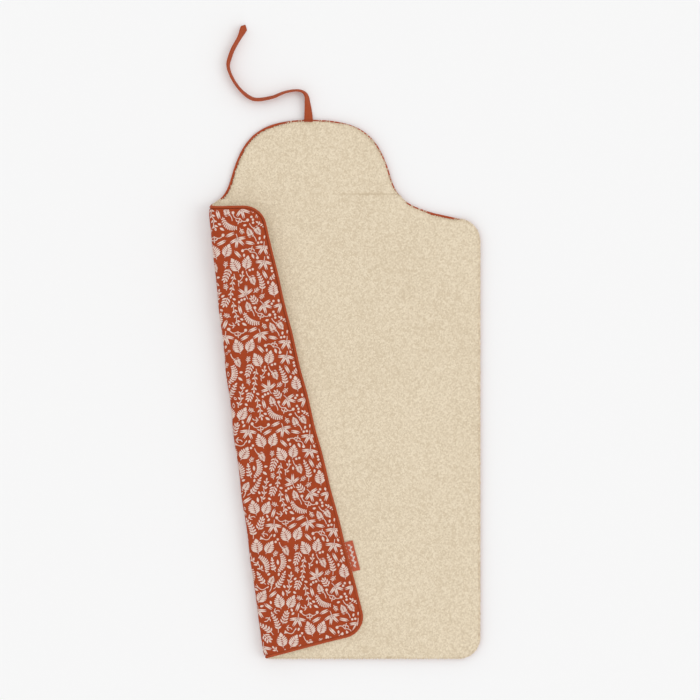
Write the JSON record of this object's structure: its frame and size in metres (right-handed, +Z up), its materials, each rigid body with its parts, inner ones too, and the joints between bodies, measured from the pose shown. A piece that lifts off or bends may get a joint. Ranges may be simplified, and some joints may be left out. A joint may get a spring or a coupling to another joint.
{
  "type": "travel changing mat",
  "caption": "Padded baby changing mat in terry cloth with a printed cotton back, piped edge, rounded head tab with a tie strap, and one side panel folded over.",
  "frame": {"origin": "on the flat underside, where the head tab's centre line crosses the middle of the mat's length", "axes": "+X across the mat, away from the folded panel; +Y along the mat, towards the head tab; +Z up, out of the terry side"},
  "size_m": [0.3772, 0.887, 0.0285],
  "materials": {
    "terry_cloth": "looped cotton pile, matte beige",
    "printed_cotton": "plain woven cotton, rust with a pale leaf print",
    "wadding": "lofted polyester fibre, white",
    "piping_cloth": "bias-cut plain woven cotton, rust",
    "filler_cord": "twisted cotton cord, white",
    "tie_cloth": "folded plain woven cotton, rust",
    "sewing_thread": "polyester thread, satin",
    "label_weave": "woven satin ribbon, light rust"
  },
  "bodies": {
    "mat": {"backing_mat": "printed_cotton", "wadding_mat": "wadding", "terry_mat": "terry_cloth", "piping_mat": "piping_cloth", "cord_mat": "filler_cord", "piping_neck": "piping_cloth", "cord_neck": "filler_cord"},
    "roll": {"backing_roll": "printed_cotton", "wadding_roll": "wadding", "terry_roll": "terry_cloth", "piping_roll_bottom": "piping_cloth", "cord_roll_bottom": "filler_cord", "piping_roll_top": "piping_cloth", "cord_roll_top": "filler_cord"},
    "panel": {"backing_panel": "printed_cotton", "wadding_panel": "wadding", "terry_panel": "terry_cloth", "piping_panel": "piping_cloth", "cord_panel": "filler_cord", "label_root": "label_weave"},
    "tab": {"backing_tab": "printed_cotton", "wadding_tab": "wadding", "terry_tab": "terry_cloth", "piping_tab": "piping_cloth", "cord_tab": "filler_cord", "tie_root": "tie_cloth", "tie_bartack": "sewing_thread"},
    "tie": {"tie_strap": "tie_cloth"},
    "label": {"side_label": "label_weave"}
  },
  "joints": [
    {"name": "panel_fold", "type": "hinge", "parent": "mat", "child": "roll", "pos_m": [-0.1071, 0, 0.004], "axis": [0.121, -0.9927, 0], "range_deg": [0, 90]},
    {"name": "panel_roll", "type": "hinge", "parent": "roll", "child": "panel", "pos_m": [-0.1071, 0, 0.025], "axis": [0.121, -0.9927, 0], "range_deg": [0, 95.17]},
    {"name": "tab_fold", "type": "hinge", "parent": "mat", "child": "tab", "pos_m": [0, 0.27175, 0.008], "axis": [1, 0, 0], "range_deg": [0, 115]},
    {"name": "tie_lift", "type": "hinge", "parent": "tab", "child": "tie", "pos_m": [-0.0034, 0.37675, 0.0079], "axis": [1, 0, 0], "range_deg": [0, 90]},
    {"name": "label_flip", "type": "hinge", "parent": "panel", "child": "label", "pos_m": [0.05343, -0.23442, 0.01084], "axis": [0.2397, -0.9708, -0.0109], "range_deg": [0, 85]}
  ],
  "couplings": [
    {"joint": "panel_roll", "follows": "panel_fold", "ratio": 1.0574}
  ]
}
